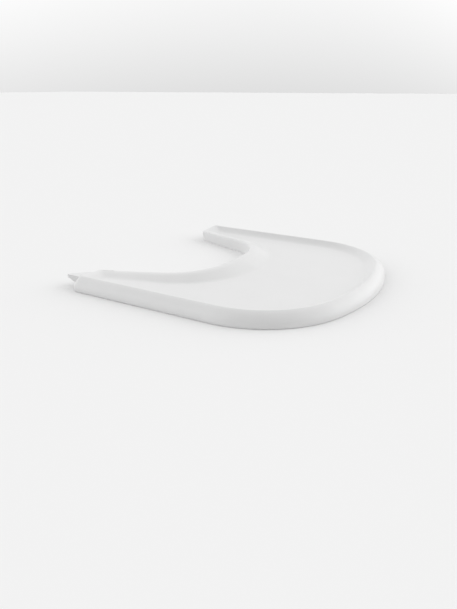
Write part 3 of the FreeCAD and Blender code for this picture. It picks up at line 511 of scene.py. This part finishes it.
# A helix along y whose pitch closes up in the last turn at each end, with a round wire carried along it.
def springMesh():
    c = coil
    middle = (np.array(springLow) + np.array(springHigh)) / 2 / mm
    radius = (springHigh[2] - springLow[2]) / mm / 2 - c["wire"]
    startY, stopY = springLow[1] / mm + c["wire"], springHigh[1] / mm - c["wire"]
    turns = np.linspace(0, c["turns"] + 2 * c["deadTurns"], int(c["stepsPerTurn"] * (c["turns"] + 2)))
    dead = 2 * c["wire"] / (stopY - startY)
    lift = np.interp(turns, [0, c["deadTurns"], turns[-1] - c["deadTurns"], turns[-1]],
                     [0, dead, 1 - dead, 1])
    angle = 2 * math.pi * turns
    line = np.stack([middle[0] + radius * np.cos(angle), startY + (stopY - startY) * lift,
                     middle[2] + radius * np.sin(angle)], 1)
    ahead = np.gradient(line, axis=0)
    ahead = ahead / np.linalg.norm(ahead, axis=1, keepdims=True)
    outward = np.stack([np.cos(angle), np.zeros_like(angle), np.sin(angle)], 1)
    sideways = np.cross(ahead, outward)
    turn = np.linspace(0, 2 * math.pi, c["around"], endpoint=False)
    rings = (line[:, None] + c["wire"] * (np.cos(turn)[None, :, None] * outward[:, None]
                                          + np.sin(turn)[None, :, None] * sideways[:, None]))
    caps = [np.repeat(line[i][None, None], c["around"], 1) for i in (0, -1)]
    return gridMesh("coil", np.vstack([caps[0], rings, caps[1]]) * mm, closed=True)


coilMesh = joinMeshes("latchSpringCoil", [springMesh()], coil["weld"] * mm)
coilPiece = addPiece("latchSpringCoil", coilMesh, springSteel, "tray", "latch_spring")
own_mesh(coilPiece)
print("spring made")

finishes = {
    "latch_bolt": noseWhite, "handle_guide": innerWhite, "arm_cover": innerWhite, "rod_saddle": innerWhite,
    "peg_socket": innerWhite, "yoke_strap_outer": innerWhite, "yoke_strap_inner": innerWhite,
    "release_handle": handleGrey, "release_yoke": yokeGrey, "grip_insert": padGrey,
    "rail_pad_front": padGrey, "rail_pad_left": padGrey, "rail_pad_right": padGrey,
    "pull_rod": rodSteel, "rod_collars": rodSteel,
    "cover_screws": screwZinc, "saddle_screw": screwZinc, "socket_screws": screwZinc,
    "strap_screws": screwZinc, "guide_screws": screwZinc, "handle_screws": screwZinc,
}
for nodeName, finish in finishes.items():
    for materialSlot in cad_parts[nodeName].material_slots:
        materialSlot.material = finish
print("finishes given")

# lampHeight is in degrees; lamps gives each lamp's strength by its bearing, in degrees from +X
studio = {"floorColour": "#EEEEEE", "floorSize": 30.0, "even": 0.04, "overhead": 0.5, "lampHeight": 18,
          "overheadPower": 2.0, "lampPower": 5.0,
          "lamps": {0: 0.66, 45: 0.68, 90: 0.95, 135: 1.7, 180: 0.15, 270: 0.7, 315: 2.4}}

floorMesh = gridMesh("studioFloor", np.array([[[x, y, 0] for x in (-1, 1)] for y in (-1, 1)], dtype=float)
                     * [studio["floorSize"], studio["floorSize"], 0])
floorMaterial, floorTree = newMaterial("matt white studio paper")
floorShader = addNode(floorTree, "ShaderNodeBsdfDiffuse", {"Color": linearColour(studio["floorColour"])})
addNode(floorTree, "ShaderNodeOutputMaterial", None, {"Surface": floorShader.outputs[0]})
floorMesh.materials.append(floorMaterial)
floorObject = bpy.data.objects.new("studioFloor", floorMesh)
bpy.context.collection.objects.link(floorObject)

# Room light: large soft lamps all round, the strongest to the camera's right and left and the weakest behind
# it, and one overhead.
world = bpy.data.worlds.new("studioRoom")
bpy.context.scene.world = world
world.use_nodes = True
room = world.node_tree
room.nodes.clear()
roomDirection = addNode(room, "ShaderNodeTexCoord").outputs["Generated"]


def lobe(direction, power):  # cosine to a direction, raised to a power, nothing behind it
    unit = Vector(direction).normalized()
    dot = addNode(room, "ShaderNodeVectorMath", {"operation": "DOT_PRODUCT"})
    room.links.new(roomDirection, dot.inputs[0])
    dot.inputs[1].default_value = unit
    ahead = addNode(room, "ShaderNodeMath", {"operation": "MAXIMUM"})
    room.links.new(dot.outputs["Value"], ahead.inputs[0])
    ahead.inputs[1].default_value = 0
    raised = addNode(room, "ShaderNodeMath", {"operation": "POWER"})
    room.links.new(ahead.outputs[0], raised.inputs[0])
    raised.inputs[1].default_value = power
    return raised.outputs[0]


def addScaled(total, part, weight):
    step = addNode(room, "ShaderNodeMath", {"operation": "MULTIPLY_ADD"})
    room.links.new(part, step.inputs[0])
    step.inputs[1].default_value = weight
    if isinstance(total, float):
        step.inputs[2].default_value = total
    else:
        room.links.new(total, step.inputs[2])
    return step.outputs[0]


strength = addScaled(studio["even"], lobe((0, 0, 1), studio["overheadPower"]), studio["overhead"])
for around, weight in studio["lamps"].items():
    up, turned = math.radians(studio["lampHeight"]), math.radians(around)
    towards = (math.cos(turned) * math.cos(up), math.sin(turned) * math.cos(up), math.sin(up))
    strength = addScaled(strength, lobe(towards, studio["lampPower"]), weight)
background = addNode(room, "ShaderNodeBackground", {"Color": (1, 1, 1, 1)}, {"Strength": strength})
addNode(room, "ShaderNodeOutputWorld", None, {"Surface": background.outputs[0]})
bpy.context.scene.view_settings.view_transform = "Standard"

# millimetres, with y counted from the tray's front edge
cameraPlace = {"from": (-874.03, -237.69, 324.97), "to": (-152.69, 191.32, 0), "lens": 33.25,
               "sensor": 36, "clipEnd": 100}  # clipEnd in metres
cameraData = bpy.data.cameras.new("studioCamera")
cameraData.lens = cameraPlace["lens"]
cameraData.sensor_width = cameraPlace["sensor"]
cameraData.clip_end = cameraPlace["clipEnd"]
camera = bpy.data.objects.new("studioCamera", cameraData)
bpy.context.collection.objects.link(camera)
standPoint = Vector(cameraPlace["from"]) + Vector((0, frontY, 0))
aimPoint = Vector(cameraPlace["to"]) + Vector((0, frontY, 0))
camera.location = standPoint * mm
camera.rotation_euler = (aimPoint - standPoint).to_track_quat("-Z", "Y").to_euler()
bpy.context.scene.camera = camera
print("camera set")

bpy.context.view_layer.update()
